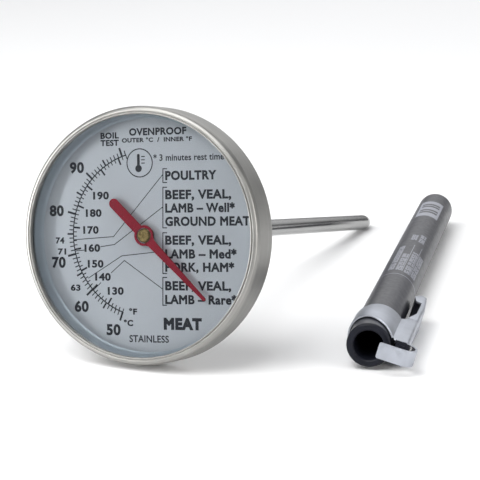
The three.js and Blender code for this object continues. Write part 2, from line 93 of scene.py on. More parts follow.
# ---------------------------------------------------------------- materials
class Look:
    """A procedural material: a Principled shader with helpers for the nodes that feed it."""

    def __init__(self, name, colour, roughness, metallic=0.0, cad=False, **sockets):
        self.material = bpy.data.materials.new(name)
        self.material.use_nodes = True
        self.tree = self.material.node_tree
        self.shader = self.tree.nodes["Principled BSDF"]
        self.shader.inputs["Base Color"].default_value = (*colour, 1)
        self.shader.inputs["Roughness"].default_value = roughness
        self.shader.inputs["Metallic"].default_value = metallic
        for key, value in sockets.items():
            self.shader.inputs[key.replace("_", " ")].default_value = value
        # Built pieces carry their place in their own local frame, in metres, as "local".
        self.coords = (self.node("ShaderNodeTexCoord").outputs["Object"] if cad else
                       self.node("ShaderNodeAttribute", attribute_name="local").outputs["Vector"])

    def node(self, kind, inputs=(), **settings):
        made = self.tree.nodes.new(kind)
        for key, value in settings.items():
            setattr(made, key, value)
        for key, value in dict(inputs).items():
            if isinstance(value, bpy.types.NodeSocket):
                self.tree.links.new(value, made.inputs[key])
            else:
                made.inputs[key].default_value = value
        return made

    def maths(self, operation, a, b=0.0):
        return self.node("ShaderNodeMath", {0: a, 1: b}, operation=operation).outputs[0]

    def noise(self, scale, detail=2.0, stretch=(1, 1, 1), vector=None, roughness=0.5):
        mapped = self.node("ShaderNodeMapping", {"Vector": vector or self.coords, "Scale": stretch})
        return self.node("ShaderNodeTexNoise", {
            "Vector": mapped.outputs[0], "Scale": scale, "Detail": detail,
            "Roughness": roughness}).outputs["Fac"]

    def turned(self):
        """(radius, along, angle / 300) of the point, for marks that run round the local Y axis."""
        axes = self.node("ShaderNodeSeparateXYZ", {0: self.coords}).outputs
        across, up = (self.maths("MULTIPLY", axis, axis) for axis in (axes[0], axes[2]))
        radius = self.maths("SQRT", self.maths("ADD", across, up))
        angle = self.maths("DIVIDE", self.maths("ARCTAN2", axes[0], axes[2]), 300.0)
        return self.node("ShaderNodeCombineXYZ", {0: radius, 1: axes[1], 2: angle}).outputs[0]

    def ramp(self, factor, stops):
        made = self.node("ShaderNodeValToRGB", {"Fac": factor})
        elements = made.color_ramp.elements
        while len(elements) < len(stops):
            elements.new(0.5)
        for element, (place, colour) in zip(elements, stops):
            element.position = place
            element.color = (*colour, 1) if len(colour) == 3 else colour
        return made.outputs["Color"]

    def span(self, factor, low, high, start=0.3, end=0.7):
        """The factor's middle range, stretched to run from low to high."""
        return self.node("ShaderNodeMapRange", {
            "Value": factor, "From Min": start, "From Max": end, "To Min": low, "To Max": high,
        }).outputs[0]

    def blend(self, a, share, b):
        """A factor that is part a, by its share, and the rest b."""
        return self.maths("ADD", self.maths("MULTIPLY", a, share),
                          self.maths("MULTIPLY", b, 1 - share))

    def shaded(self, factor, colour, dark, light, end=0.7):
        """Colours the surface from `dark` times the colour at low factors to `light` times it."""
        self.colour(self.ramp(factor, [(0.3, shade(colour, dark)), (end, shade(colour, light))]))

    def colour(self, socket):
        self.tree.links.new(socket, self.shader.inputs["Base Color"])

    def rough(self, socket):
        self.tree.links.new(socket, self.shader.inputs["Roughness"])

    def bump(self, *layers):
        """Layers of (height factor, depth in mm), the first one lowest."""
        normal = None
        for height, depth in layers:
            made = self.node("ShaderNodeBump", {
                "Height": height, "Distance": depth * MM, "Strength": 1.0})
            if normal is not None:
                self.tree.links.new(normal, made.inputs["Normal"])
            normal = made.outputs[0]
        self.tree.links.new(normal, self.shader.inputs["Normal"])


def shade(colour, factor):
    return tuple(min(1.0, c * factor) for c in colour)


def turned_metal(name, colour, roughness, lines=5200, depth=0.0012, contrast=0.1, cad=False):
    """Metal with fine lines round the axis and faint smudges; CAD nodes get an even grain."""
    look = Look(name, colour, roughness, 1.0, cad)
    fine = look.noise(lines, 2) if cad else look.noise(lines, 2, (1, 1, 0.02), look.turned())
    smudge = look.noise(140, 4)
    look.shaded(smudge, colour, 1 - contrast, 1 + contrast)
    look.rough(look.span(look.blend(fine, 0.6, smudge), roughness * 0.8, roughness * 1.25))
    look.bump((look.noise(60, 2), 0.01), (fine, depth))
    return look.material


def sheet_metal(name, colour, roughness):
    """Tumbled spring steel: fine grain, faint rolling lines along the strip and soft smudges."""
    look = Look(name, colour, roughness, 1.0)
    rolled = look.noise(2600, 2, (1, 0.03, 1))
    grain = look.noise(5200, 3)
    smudge = look.noise(220, 4)
    look.shaded(smudge, colour, 0.86, 1.1)
    look.rough(look.span(look.blend(grain, 0.5, smudge), roughness * 0.85, roughness * 1.2))
    look.bump((look.noise(260, 2), 0.012), (rolled, 0.0016), (grain, 0.002))
    return look.material


def polished_stem(name, colour):
    """Drawn and polished tube: lines along it, and a very slight waviness."""
    look = Look(name, colour, 0.2, 1.0)
    drawn = look.noise(3600, 2, (1, 0.004, 1))
    smudge = look.noise(120, 4, (1, 0.35, 1))
    look.shaded(smudge, colour, 0.9, 1.08)
    look.rough(look.span(look.blend(drawn, 0.5, smudge), 0.14, 0.27))
    look.bump((look.noise(90, 2, (1, 0.3, 1)), 0.006), (drawn, 0.0008))
    return look.material


def moulded_plastic(name, colour, roughness, flow=True, shine=0.5):
    """Satin moulded plastic: faint flow streaks along the piece and a soft orange peel."""
    look = Look(name, colour, roughness, 0.0, Specular_IOR_Level=shine)
    streak = look.noise(700, 3, (1, 0.02 if flow else 1, 1))
    peel = look.noise(900, 2)
    look.shaded(streak, colour, 0.8, 1.25)
    look.rough(look.span(look.blend(streak, 0.5, peel), roughness * 0.8, roughness * 1.2))
    look.bump((peel, 0.004), (streak, 0.0015))
    return look.material


def ink(name, colour, roughness=0.5):
    """Screen print: nearly even, with tiny pinholes and a slightly raised grain."""
    look = Look(name, colour, roughness)
    speck = look.noise(6000, 2)
    look.shaded(speck, colour, 0.8, 1.3, end=0.72)
    look.rough(look.span(speck, roughness * 0.85, roughness * 1.15))
    look.bump((speck, 0.002))
    return look.material


def silver_dial(name, colour):
    """Silver lacquer on the dial: fine metallic flake with a hardly visible cloudiness."""
    look = Look(name, colour, 0.42, 0.25, Specular_IOR_Level=0.4)
    flake = look.noise(5200, 3)
    cloud = look.noise(70, 3)
    look.shaded(look.blend(flake, 0.35, cloud), colour, 0.93, 1.07)
    look.rough(look.span(flake, 0.36, 0.48))
    look.bump((flake, 0.0015))
    return look.material


def satin_wall(name, colour):
    """The pressed cove round the dial: satin, a little darker where it has fine rub marks."""
    look = Look(name, colour, 0.42, 0.3)
    fine = look.noise(3000, 2, (1, 1, 0.03), look.turned())
    cloud = look.noise(90, 3)
    look.shaded(cloud, colour, 0.9, 1.1)
    look.rough(look.span(fine, 0.32, 0.46))
    look.bump((fine, 0.001))
    return look.material


def red_enamel(name, colour):
    """Dull baked enamel with a fine orange peel."""
    look = Look(name, colour, 0.5, 0.0, Specular_IOR_Level=0.25)
    peel = look.noise(1500, 3)
    look.shaded(peel, colour, 0.88, 1.12)
    look.rough(look.span(peel, 0.44, 0.58))
    look.bump((peel, 0.003))
    return look.material


def cast_brass(name, light, dark, scale=1700, cad=False):
    """Brass with a mottled, slightly pitted face."""
    look = Look(name, light, 0.4, 0.85, cad)
    mottle = look.noise(scale, 4, roughness=0.65)
    look.colour(look.ramp(mottle, [(0.36, dark), (0.5, light), (0.68, shade(light, 1.5))]))
    look.rough(look.span(mottle, 0.55, 0.3))
    look.bump((mottle, 0.02), (look.noise(6000, 2), 0.002))
    return look.material


def soft_rubber(name, colour):
    """Matt rubber with a fine even grain."""
    look = Look(name, colour, 0.8)
    grain = look.noise(4200, 3)
    look.shaded(grain, colour, 0.8, 1.3)
    look.rough(look.span(grain, 0.7, 0.9))
    look.bump((grain, 0.006))
    return look.material


def clear_glass(name):
    """A thin flat pane: it passes light straight through and mirrors more at a slant."""
    look = Look(name, (1, 1, 1), 0.02)
    tree = look.tree
    clear = look.node("ShaderNodeBsdfTransparent", {"Color": (0.97, 0.98, 0.985, 1)})
    gloss = look.node("ShaderNodeBsdfGlossy", {"Color": (1, 1, 1, 1), "Roughness": 0.03})
    tree.links.new(look.span(look.noise(60, 3), 0.02, 0.06), gloss.inputs["Roughness"])
    fresnel = look.node("ShaderNodeFresnel", {"IOR": 1.45})
    mix = look.node("ShaderNodeMixShader")
    tree.links.new(fresnel.outputs[0], mix.inputs[0])
    tree.links.new(clear.outputs[0], mix.inputs[1])
    tree.links.new(gloss.outputs[0], mix.inputs[2])
    tree.links.new(mix.outputs[0], tree.nodes["Material Output"].inputs["Surface"])
    tree.nodes.remove(look.shader)
    return look.material


PLAIN_STEEL = (0.42, 0.415, 0.40)
TURNED_BRASS = ((0.42, 0.32, 0.13), (0.25, 0.18, 0.07), 500)
STEEL = turned_metal("brushed_steel", (0.3, 0.296, 0.283), 0.42)
BACK_STEEL = turned_metal("spun_steel", PLAIN_STEEL, 0.34, lines=3400, depth=0.002)
POLISHED = polished_stem("stem_steel", (0.35, 0.35, 0.345))
CLIP = sheet_metal("clip_steel", (0.41, 0.43, 0.475), 0.46)
# painted shade: a near-black gloss on the clip's inner faces stands for the shade and the dark tube
# mirrored inside the bent strip
PAINTED_CLIP_SHADE = moulded_plastic("clip_painted_shade", (0.012, 0.013, 0.018), 0.25, flow=False)
BRASS = cast_brass("brass", (0.30, 0.22, 0.085), (0.10, 0.07, 0.025))
DULL_BRASS = cast_brass("turned_brass", *TURNED_BRASS)
SILVER = silver_dial("dial_silver", (0.61, 0.635, 0.67))
WALL = satin_wall("inner_wall", (0.48, 0.54, 0.59))
INK = ink("dial_ink", (0.008, 0.009, 0.018))
RED = red_enamel("red_enamel", (0.33, 0.007, 0.026))
GLASS = clear_glass("lens_glass")
PLASTIC = moulded_plastic("sheath_plastic", (0.024, 0.025, 0.033), 0.4, shine=0.6)
MOUTH = moulded_plastic("sheath_mouth", (0.006, 0.007, 0.012), 0.5, flow=False, shine=0.2)
PALE_INK = ink("sheath_ink", (0.26, 0.27, 0.31), 0.4)
RUBBER = soft_rubber("gasket_rubber", (0.36, 0.39, 0.42))
BIMETAL = turned_metal("bimetal_strip", (0.36, 0.32, 0.27), 0.35, cad=True)
INNER_STEEL = turned_metal("inner_steel", PLAIN_STEEL, 0.34, cad=True)
INNER_BRASS = cast_brass("inner_brass", *TURNED_BRASS, cad=True)


# ---------------------------------------------------------------- mesh building
def rounded(corners, closed=False, steps=5):
    """Corners as (u, v) or (u, v, radius), with an arc put in at each corner that has a radius."""
    points = []
    for i, corner in enumerate(corners):
        here = Vector(corner[:2])
        radius = corner[2] if len(corner) > 2 else 0
        if radius <= 0 or (not closed and i in (0, len(corners) - 1)):
            points.append(tuple(here))
            continue
        back = Vector(corners[i - 1][:2]) - here
        ahead = Vector(corners[(i + 1) % len(corners)][:2]) - here
        half = back.angle(ahead) / 2
        reach = min(radius / math.tan(half), 0.49 * back.length, 0.49 * ahead.length)
        radius = reach * math.tan(half)
        inward = (back.normalized() + ahead.normalized()).normalized()
        centre = here + inward * radius / math.sin(half)
        start = here + back.normalized() * reach - centre
        end = here + ahead.normalized() * reach - centre
        first = math.atan2(start.y, start.x)
        sweep = (math.atan2(end.y, end.x) - first + math.pi) % (2 * math.pi) - math.pi
        for k in range(steps + 1):
            angle = first + sweep * k / steps
            points.append((centre.x + radius * math.cos(angle),
                           centre.y + radius * math.sin(angle)))
    return points


def make(name, vertices, faces, where, look, body, slot, replaces=(), sharp=35, outward=True,
         inside=None):
    """A piece from local millimetre points, placed by the frame `where`, that rides on a CAD body.

    inside is (look, test): faces whose local middle and normal pass the test take that look.
    """
    mesh = bpy.data.meshes.new(name)
    mesh.from_pydata([Vector(v) * MM for v in vertices], [], faces)
    if outward:
        work = bmesh.new()
        work.from_mesh(mesh)
        bmesh.ops.remove_doubles(work, verts=work.verts, dist=1e-8)
        bmesh.ops.recalc_face_normals(work, faces=work.faces)
        work.to_mesh(mesh)
        work.free()
    mesh.materials.append(look)
    if inside:
        mesh.materials.append(inside[0])
        for face in mesh.polygons:
            face.material_index = int(inside[1](face.center / MM, face.normal))
    places = mesh.attributes.new("local", "FLOAT_VECTOR", "POINT")
    places.data.foreach_set("vector", [c for v in mesh.vertices for c in v.co])
    mesh.transform(where)
    mesh.shade_smooth()
    mesh.set_sharp_from_angle(angle=math.radians(sharp))
    piece = bpy.data.objects.new(name, mesh)
    bpy.context.scene.collection.objects.link(piece)
    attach(piece, body)
    if replaces:
        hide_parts(*replaces)
    return piece


def grid(rows, loop_rows, loop_columns):
    """Faces between rows of points that all have the same count."""
    vertices = [p for row in rows for p in row]
    count = len(rows[0])
    faces = []
    for i in range(len(rows) if loop_rows else len(rows) - 1):
        a, b = i * count, (i + 1) % len(rows) * count
        for j in range(count if loop_columns else count - 1):
            k = (j + 1) % count
            faces.append((a + j, a + k, b + k, b + j))
    return vertices, faces


def lathe(name, profile, steps, *args, **options):
    """A body turned round the local Y axis from (radius, y) points.

    The outline is open when it starts on the axis, and closed into a ring when it doesn't.
    """
    closed = profile[0][0] > 1e-6
    vertices, faces, rings = [], [], []
    for radius, y in profile:
        count = 1 if radius <= 1e-6 else steps
        rings.append(range(len(vertices), len(vertices) + count))
        for k in range(count):
            angle = 2 * math.pi * k / steps
            vertices.append((radius * math.sin(angle), y, radius * math.cos(angle)))
    for a, b in zip(rings, rings[1:] + (rings[:1] if closed else [])):
        for i in range(steps):
            j = (i + 1) % steps
            if len(a) == 1 and len(b) == 1:
                break
            if len(a) == 1:
                faces.append((a[0], b[j], b[i]))
            elif len(b) == 1:
                faces.append((a[i], a[j], b[0]))
            else:
                faces.append((a[i], a[j], b[j], b[i]))
    return make(name, vertices, faces, *args, **options)


def arc(u, v, radius, start, end, steps):
    """Points round (u, v), from the start angle to the end angle in degrees."""
    angles = [math.radians(start + (end - start) * k / steps) for k in range(steps + 1)]
    return [(u + radius * math.cos(a), v + radius * math.sin(a)) for a in angles]


def solid_prism(corners, low, high):
    """An object for the boolean work below: [x, y] corners extruded from z = low to z = high."""
    count = len(corners)
    vertices = [(x, y, z) for z in (low, high) for x, y in corners]
    faces = [tuple(range(count)), tuple(range(count, 2 * count))]
    faces += [(i, (i + 1) % count, count + (i + 1) % count, count + i) for i in range(count)]
    mesh = bpy.data.meshes.new("prism")
    mesh.from_pydata([Vector(v) * MM for v in vertices], [], faces)
    work = bmesh.new()
    work.from_mesh(mesh)
    bmesh.ops.recalc_face_normals(work, faces=work.faces)
    work.to_mesh(mesh)
    work.free()
    made = bpy.data.objects.new("prism", mesh)
    bpy.context.scene.collection.objects.link(made)
    return made


def baked(piece):
    """The piece's mesh with its modifiers applied; the piece is then removed."""
    mesh = bpy.data.meshes.new_from_object(
        piece.evaluated_get(bpy.context.evaluated_depsgraph_get()))
    bpy.data.objects.remove(piece)
    return mesh


# ---------------------------------------------------------------- head
HEAD_STEPS = 256
RIM = 25.5                              # outer radius of the bezel
WINDOW = 23.9                           # radius of its opening
LENS, LENS_FRONT, LENS_BACK = 24.5, 1.2, 2.2
DIAL, DIAL_HOLE, DIAL_FRONT, DIAL_BACK = 23.9, 1.6, 4.3, 4.8
CUP, CUP_INNER, CUP_FRONT, CUP_BACK = 24.7, 24.2, 3.2, 9.1

lathe("bezel", rounded([
    # inner lip, with a fine groove round it
    (WINDOW, 1.0), (WINDOW, 0.3, 0.1), (WINDOW + 0.07, 0.05, 0.09), (WINDOW + 0.23, 0.04, 0.08),
    (WINDOW + 0.31, 0.32, 0.06), (WINDOW + 0.44, 0.3, 0.06),
    # front roll and skirt
    (WINDOW + 0.55, 0.09, 0.12), (WINDOW + 0.85, 0.13, 0.3), (RIM - 0.3, 0.42, 0.5),
    (RIM, 1.35, 0.8), (RIM, 7.3, 0.5),
    # rear edge, turned in over the shoulder of the case back
    (RIM - 0.22, 7.95, 0.3), (RIM - 0.6, 8.2, 0.25), (RIM - 0.88, 7.95, 0.2),
    (RIM - 0.75, 7.4, 0.2), (RIM - 0.5, 7.0, 0.3), (RIM - 0.5, 1.15, 0.1), (RIM - 0.65, 0.9, 0.1),
], closed=True), HEAD_STEPS, THERMOMETER, STEEL, "head", "steel", ["bezel_ring"])

lathe("glass_lens", [(0, LENS_FRONT)] + rounded([
    (LENS - 0.5, LENS_FRONT), (LENS, LENS_FRONT, 0.12), (LENS, LENS_BACK, 0.12),
    (LENS - 0.5, LENS_BACK)]) + [(0, LENS_BACK)],
    128, THERMOMETER, GLASS, "head", "lens_glass", ["lens"])

# The cove hangs over the cup's front edge and runs in to the dial.
BEHIND_COVE = CUP_INNER - 0.05
lathe("inner_wall", [
    (BEHIND_COVE, 3.16), (24.48, 3.1), (24.48, 2.5), (24.44, 2.46), (24.39, 2.5), (24.34, 2.75),
    (24.22, 3.0), (24.04, 3.3), (23.88, 3.6), (23.7, 3.88), (23.5, 4.07), (23.3, 4.17),
    (23.18, 4.2), (23.14, 4.23), (23.18, DIAL_FRONT - 0.03), (BEHIND_COVE, DIAL_FRONT - 0.03)],
    HEAD_STEPS, THERMOMETER, WALL, "head", "inner_ring_plastic", ["inner_ring"])

lathe("lens_seal", rounded([
    (LENS - 0.3, 2.24, 0.05), (LENS, 2.24, 0.05), (LENS, 2.42, 0.05), (LENS - 0.3, 2.42, 0.05)],
    closed=True), HEAD_STEPS, THERMOMETER, RUBBER, "head", "black_rubber", ["lens_gasket"])

lathe("dial_plate_face", rounded([
    (DIAL_HOLE, DIAL_FRONT, 0.06), (DIAL, DIAL_FRONT, 0.06), (DIAL, DIAL_BACK, 0.06),
    (DIAL_HOLE, DIAL_BACK, 0.06)], closed=True),
    HEAD_STEPS, THERMOMETER, SILVER, "head", "dial_print", ["dial_plate"])

# Drawn cup with a round shoulder and a shallow ring pressed in its back.
lathe("case_back_shell", rounded([
    (3.5, CUP_BACK - 0.5, 0.05), (20.5, CUP_BACK - 0.5, 0.3), (22.4, CUP_BACK - 0.55, 1.6),
    (CUP_INNER, 7.0, 2.0), (CUP_INNER, CUP_FRONT, 0.1), (CUP, CUP_FRONT, 0.1), (CUP, 6.9, 2.4),
    (22.2, CUP_BACK, 2.2), (19.6, CUP_BACK, 0.3), (19.2, CUP_BACK - 0.15, 0.3),
    (18.2, CUP_BACK - 0.15, 0.3), (17.8, CUP_BACK, 0.3), (3.5, CUP_BACK, 0.12)],
    closed=True, steps=7), HEAD_STEPS, THERMOMETER, BACK_STEEL, "head", "steel", ["case_back"])

# ---------------------------------------------------------------- dial print
PRINT_Y = DIAL_FRONT - 0.02
PRINT_TURN = math.radians(5.4)   # the print sits a little anticlockwise on the dial
ARC_CENTRE = Vector((0, 0.15))
THIN, BOLD, HEAVY = 2, 4, 6
# text, left end of the baseline (x, z), length, cap height, weight
WORDS = [
    ("BOIL", -11.68, 18.28, 4.09, 1.24, BOLD), ("TEST", -11.57, 16.85, 4.09, 1.21, BOLD),
    ("OVENPROOF", -5.38, 19.36, 12.49, 1.45, BOLD),
    ("OUTER °C  /  INNER °F", -6.89, 17.87, 15.3, 0.88, BOLD),
    ("* 3 minutes rest time", 0.32, 14.75, 15.2, 1.30, THIN),
    ("POULTRY", 3.20, 11.17, 11.03, 1.84, BOLD), ("BEEF, VEAL,", 3.49, 7.43, 14.14, 1.84, BOLD),
    ("LAMB – Well*", 3.69, 4.80, 14.91, 1.84, BOLD),
    ("GROUND MEAT", 3.89, 2.17, 18.12, 1.84, BOLD),
    ("BEEF, VEAL,", 4.17, -1.50, 14.16, 1.84, BOLD),
    ("LAMB – Med*", 4.38, -4.21, 15.32, 1.84, BOLD),
    ("PORK, HAM*", 4.58, -6.80, 14.82, 1.84, BOLD),
    ("BEEF, VEAL,", 4.86, -10.45, 14.17, 1.84, BOLD),
    ("LAMB – Rare*", 5.07, -13.16, 15.4, 1.84, BOLD), ("MEAT", 5.14, -18.25, 8.26, 2.40, HEAVY),
    ("STAINLESS", -2.18, -21.52, 8.67, 1.4, THIN), ("90", -18.07, 10.92, 3.21, 2.22, BOLD),
    ("80", -22.03, 1.91, 3.25, 2.2, BOLD), ("70", -20.71, -8.45, 3.14, 2.22, BOLD),
    ("60", -14.86, -16.81, 3.17, 2.22, BOLD), ("50", -7.37, -20.71, 3.16, 2.22, BOLD),
    ("74", -20.23, -3.48, 1.98, 1.26, BOLD), ("71", -19.56, -5.66, 1.89, 1.26, BOLD),
    ("63", -16.09, -12.66, 2.21, 1.26, BOLD), ("190", -12.42, 6.09, 3.54, 1.54, BOLD),
    ("180", -13.80, 2.47, 3.55, 1.54, BOLD), ("170", -14.13, -0.96, 3.48, 1.54, BOLD),
    ("160", -13.57, -4.54, 3.53, 1.54, BOLD), ("150", -12.59, -7.63, 3.55, 1.54, BOLD),
    ("140", -10.74, -10.08, 3.51, 1.54, BOLD), ("130", -7.70, -12.61, 3.55, 1.54, BOLD),
    ("°F", -2.68, -16.06, 1.79, 1.20, BOLD), ("°C", -3.64, -18.45, 2.04, 1.21, BOLD),
]
# thin lines from each group of meats to its mark on the scale
LEADERS = [
    [(2.59, 12.32), (-7.31, -0.9), (-16.11, -2.33)],
    [(3.08, 5.91), (-6.98, -2.45), (-10.06, -3.18)], [(-13.59, -4.17), (-15.53, -4.54)],
    [(3.75, -2.81), (-5.19, -4.56), (-10.77, -8.6), (-12.34, -9.75)],
    [(4.33, -10.28), (-4.55, -5.42), (-7.29, -8.18)], [(-9.4, -10.31), (-11.05, -12.07)],
]
BRACKETS = [
    [(3.42, 13.47), (2.51, 13.4), (2.72, 10.7), (3.63, 10.77)],
    [(3.7, 9.84), (2.79, 9.76), (3.4, 1.8), (4.31, 1.88)],
    [(4.39, 0.91), (3.47, 0.83), (4.09, -7.18), (5.0, -7.09)],
    [(5.07, -7.88), (4.15, -7.97), (4.57, -13.43), (5.48, -13.33)],
]
print_vertices, print_faces = [], []


def add_flat(points, faces):
    """Adds faces to the print, each one turned to face the reader."""
    base = len(print_vertices)
    print_vertices.extend((x, PRINT_Y, z) for x, z in points)
    for face in faces:
        area = sum(points[face[i]][0] * points[face[(i + 1) % len(face)]][1]
                   - points[face[(i + 1) % len(face)]][0] * points[face[i]][1]
                   for i in range(len(face)))
        order = face if area > 0 else face[::-1]
        print_faces.append(tuple(base + i for i in order))


def add_line(points, width):
    """A line of even width with mitred corners."""
    points = [Vector(p) for p in points]
    left, right = [], []
    for i, p in enumerate(points):
        before = (p - points[i - 1]).normalized() if i else (points[1] - p).normalized()
        after = (points[i + 1] - p).normalized() if i < len(points) - 1 else before
        side = Vector((-(before + after).y, (before + after).x)).normalized()
        side *= width / 2 / max(0.3, side.dot(Vector((-before.y, before.x))))
        left.append(p + side)
        right.append(p - side)
    count = len(points)
    add_flat([tuple(p) for p in left + right],
             [(i, i + 1, count + i + 1, count + i) for i in range(count - 1)])


def dial_point(radius, clock):
    angle = math.radians(clock)
    return ARC_CENTRE.x + radius * math.sin(angle), ARC_CENTRE.y + radius * math.cos(angle)


def add_arc(centre, radius, start, end, width, steps):
    angles = [math.radians(start + (end - start) * k / steps) for k in range(steps + 1)]
    points = [(centre[0] + r * math.sin(a), centre[1] + r * math.cos(a))
              for r in (radius - width / 2, radius + width / 2) for a in angles]
    add_flat(points, [(k, k + 1, steps + k + 2, steps + k + 1) for k in range(steps)])


def glyphs(text, weight):
    """The flat mesh of a line of text at size 1, its outlines moved out by the weight."""
    curve = bpy.data.curves.new("glyphs", "FONT")
    curve.body = text
    curve.space_character = 1 + 0.02 * weight
    curve.resolution_u = 4
    curve.fill_mode = "FRONT"
    holder = bpy.data.objects.new("glyphs", curve)
    bpy.context.scene.collection.objects.link(holder)
    bpy.context.view_layer.update()
    mesh = baked(holder)
    work = bmesh.new()
    work.from_mesh(mesh)
    bmesh.ops.remove_doubles(work, verts=work.verts, dist=1e-5)
    moves = {}
    for edge in work.edges:
        if len(edge.link_faces) == 1:
            a, b = (v.co.copy() for v in edge.verts)
            out = Vector((b.y - a.y, a.x - b.x, 0)).normalized()
            if out.dot(edge.link_faces[0].calc_center_median() - a) > 0:
                out = -out
            for v in edge.verts:
                moves.setdefault(v, []).append(out)
    for v, sides in moves.items():
        side = sum(sides, Vector()).normalized()
        v.co += side * (0.011 * weight / max(0.55, side.dot(sides[0])))
    work.to_mesh(mesh)
    work.free()
    return mesh


def add_words(text, x, z, length, cap, weight):
    tall = [v.co.y for v in glyphs("H", weight).vertices]
    mesh = glyphs(text, weight)
    xs = [v.co.x for v in mesh.vertices]
    wide, high = length / (max(xs) - min(xs)), cap / (max(tall) - min(tall))
    along = Vector((math.cos(PRINT_TURN), math.sin(PRINT_TURN)))
    up = Vector((-along.y, along.x))
    points = []
    for v in mesh.vertices:
        p = Vector((x, z)) + along * (v.co.x - min(xs)) * wide + up * (v.co.y - min(tall)) * high
        points.append(tuple(p))
    add_flat(points, [tuple(f.vertices) for f in mesh.polygons])


for words in WORDS:
    add_words(*words)
LEADER_WIDTH, BRACKET_WIDTH = 0.16, 0.2
for line in LEADERS:
    add_line(line, LEADER_WIDTH)
for line in BRACKETS:
    add_line(line, BRACKET_WIDTH)


def clock(celsius):
    """The direction of a temperature on the scale, in degrees clockwise from the top."""
    return 194.6 + 2.83 * (celsius - 50)


# The scale's arc, with Celsius marks outside it and Fahrenheit marks inside.
ARC_RADIUS, ARC_WIDTH = 16.4, 0.24
add_arc(ARC_CENTRE, ARC_RADIUS, clock(50), clock(101), ARC_WIDTH, 120)
for celsius in range(50, 102):
    end, width = 17.35, 0.22
    if celsius % 10 == 0:
        end, width = 18.2, 0.42
    elif celsius % 5 == 0:
        end, width = 17.75, 0.36
    add_line([dial_point(r, clock(celsius)) for r in (ARC_RADIUS - 0.06, end)], width)
for fahrenheit in range(122, 215, 2):
    celsius = (fahrenheit - 32) / 1.8
    end, width = (14.95, 0.36) if fahrenheit % 10 == 0 else (15.65, 0.21)
    add_line([dial_point(r, clock(celsius)) for r in (ARC_RADIUS + 0.06, end)], width)

# a plain ring with a small thermometer drawn in it
RING = (-2.67, 14.17)
add_arc(RING, 2.78, 0, 360, 0.22, 64)


def in_ring(u, v):
    c, s = math.cos(PRINT_TURN), math.sin(PRINT_TURN)
    return RING[0] + u * c - v * s, RING[1] + u * s + v * c


bulb = [in_ring(*p) for p in arc(-0.25, -1.1, 0.72, 0, 345, 23)]
add_flat(bulb, [tuple(range(24))])
tube = [in_ring(*p) for p in [(-0.55, -0.9), (0.05, -0.9)] + arc(-0.25, 1.5, 0.3, 0, 180, 8)]
add_flat(tube, [tuple(range(len(tube)))])
for v in (-0.05, 0.6, 1.25):
    add_line([in_ring(0.35, v), in_ring(1.15, v)], 0.2)
make("dial_lettering", print_vertices, print_faces, THERMOMETER, INK, "head", "dial_print",
     outward=False)

# ---------------------------------------------------------------- pointer
POINTER_CLOCK = 129                     # where it points at rest, clockwise from the top
POINTER_Y, HALF_THICK, EDGE = 2.8, 0.175, 0.05
BOSS, HUB_HOLE = 2.05, 1.55
outline = (arc(-9.1, 0, 1.0, 90, 270, 16)
           + rounded([(-9.1, -1.0), (-1.75, -1.0, 0.5)] + arc(0, 0, BOSS, 215, 325, 18)
                     + [(2.3, -0.85, 0.5), (18.0, -0.33, 0.1), (18.3, 0, 0.1), (18.0, 0.33, 0.1),
                        (2.3, 0.85, 0.5)] + arc(0, 0, BOSS, 35, 145, 18)
                     + [(-1.75, 1.0, 0.5), (-9.1, 1.0)])[1:-1])
curve = bpy.data.curves.new("pointer", "CURVE")
curve.dimensions = "2D"
curve.fill_mode = "BOTH"
for loop in (outline, arc(0, 0, HUB_HOLE, 0, 352.5, 47)):
    spline = curve.splines.new("POLY")
    spline.points.add(len(loop) - 1)
    for point, (u, v) in zip(spline.points, loop):
        point.co = (u, v, 0, 1)
    spline.use_cyclic_u = True
curve.extrude, curve.offset = HALF_THICK - EDGE, -EDGE
curve.bevel_depth, curve.bevel_resolution = EDGE, 3
holder = bpy.data.objects.new("pointer_curve", curve)
bpy.context.scene.collection.objects.link(holder)
bpy.context.view_layer.update()
flat = baked(holder)
turn = math.radians(90 - POINTER_CLOCK)
pointer_points = [(v.co.x * math.cos(turn) - v.co.y * math.sin(turn),
                   POINTER_Y + HALF_THICK - v.co.z,
                   v.co.x * math.sin(turn) + v.co.y * math.cos(turn)) for v in flat.vertices]
make("red_pointer", pointer_points, [tuple(f.vertices) for f in flat.polygons], THERMOMETER, RED,
     "pointer", "red_pointer", ["pointer"])
lathe("brass_hub", [(0, 2.52)] + rounded([
    (0.4, 2.52), (1.12, 2.55, 0.1), (1.35, 2.72, 0.12), (1.35, 3.9, 0.05), (0.8, 3.9), (0.8, 3.1),
]) + [(0, 3.1)], 64, THERMOMETER, BRASS, "pointer", "brass", ["pointer_hub"])

# ---------------------------------------------------------------- stem
lathe("collar", rounded([
    (2.25, 7.2, 0.1), (4.6, 7.2, 0.15), (4.6, 8.3, 0.15), (3.2, 8.3, 0.1), (3.2, 9.8, 0.1),
    (2.25, 9.8, 0.1)], closed=True), 64, THERMOMETER, DULL_BRASS, "stem", "brass", ["stem_collar"])
lathe("spring_washer", rounded([
    (3.5, 9.4, 0.06), (5.2, 9.4, 0.08), (5.2, 9.8, 0.08), (3.5, 9.8, 0.06)], closed=True),
    64, THERMOMETER, BACK_STEEL, "stem", "spring_steel", ["friction_washer"])

# Hexagon nut: its faces meet a cone at each end, so the chamfers come out as curved edges.
NUT_FRONT, NUT_REAR = 10.1, 14.1
NUT_CORNER = 5.5 / math.cos(math.pi / 6)
NUT_BORE, CONE_RADIUS, CONE_SLOPE = 2.25, 5.62, 0.6
SOFT_EDGE = 0.06


